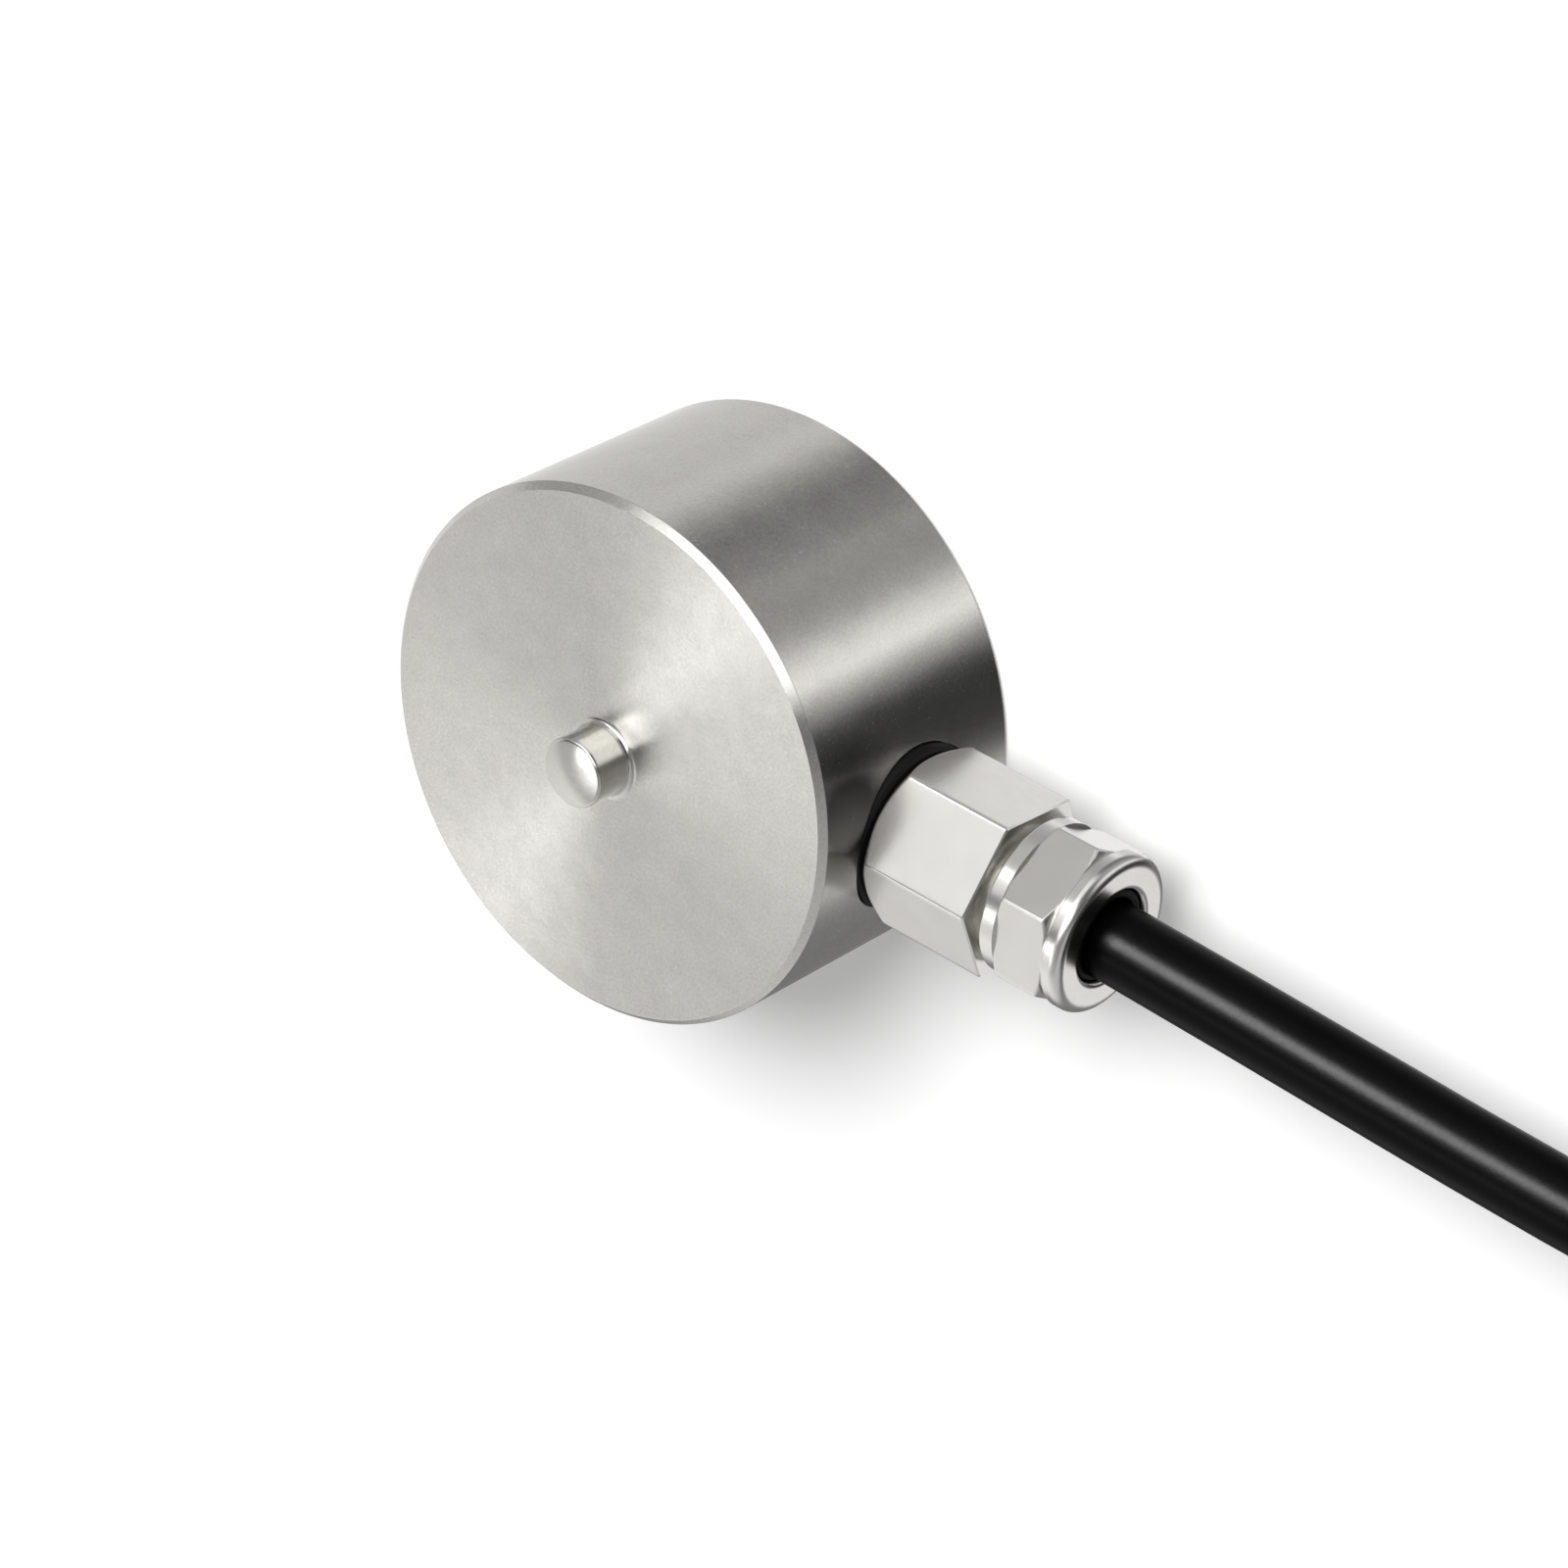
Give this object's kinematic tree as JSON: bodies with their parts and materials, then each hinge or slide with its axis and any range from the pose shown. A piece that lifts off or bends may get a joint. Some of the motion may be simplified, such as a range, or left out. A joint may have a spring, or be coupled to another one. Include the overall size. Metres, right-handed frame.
{
  "type": "strain gauge load cell",
  "caption": "Miniature button load cell: a short stainless steel cylinder with a load button on its face, a cable gland in its side and a coiled black cable with stripped leads",
  "frame": {"origin": "centre of the flat rear face, which rests on the mounting surface", "axes": "+Z runs along the load axis from the rear face to the load button, +X runs out of the side through the cable gland, +Y completes the right-handed frame"},
  "size_m": [0.1006, 0.0414, 0.0172],
  "materials": {
    "stainless": "fine turned, bare stainless steel",
    "nickel_plate": "satin nickel plate on brass",
    "black_rubber": "matte black",
    "cable_jacket": "smooth black, soft sheen",
    "board": "green lacquer",
    "resistor": "black with bright ends",
    "gauge_film": "amber film",
    "gauge_foil": "etched foil",
    "wire": "lacquered copper wire",
    "solder": "bright solder",
    "red_insulation": "red",
    "black_insulation": "black",
    "green_insulation": "green",
    "white_insulation": "white",
    "shrink_sleeve": "black shrunk sleeve",
    "tinned_wire": "tinned copper"
  },
  "bodies": {
    "root": {"sensor_body": "stainless", "rear_cover": "stainless", "terminal_board": "board", "zero_resistor": "resistor", "span_resistor": "resistor", "gauge_leads": "wire", "solder_joints": "solder", "inner_core_red": "red_insulation", "inner_core_black": "black_insulation", "inner_core_green": "green_insulation", "inner_core_white": "white_insulation", "sealing_washer": "black_rubber", "gland_body": "nickel_plate", "gland_nut": "nickel_plate", "slip_washer": "nickel_plate", "seal_bush": "black_rubber", "cable_tube": "cable_jacket", "cable_coil": "cable_jacket", "cable_tail": "cable_jacket", "end_sleeve": "shrink_sleeve", "lead_red": "red_insulation", "lead_black": "black_insulation", "lead_green": "green_insulation", "lead_white": "white_insulation", "shield_wire": "tinned_wire", "lead_tips": "tinned_wire", "gauge_backing_1": "gauge_film", "gauge_foil_1": "gauge_foil", "gauge_backing_2": "gauge_film", "gauge_foil_2": "gauge_foil", "gauge_backing_3": "gauge_film", "gauge_foil_3": "gauge_foil", "gauge_backing_4": "gauge_film", "gauge_foil_4": "gauge_foil"}
  },
  "joints": []
}
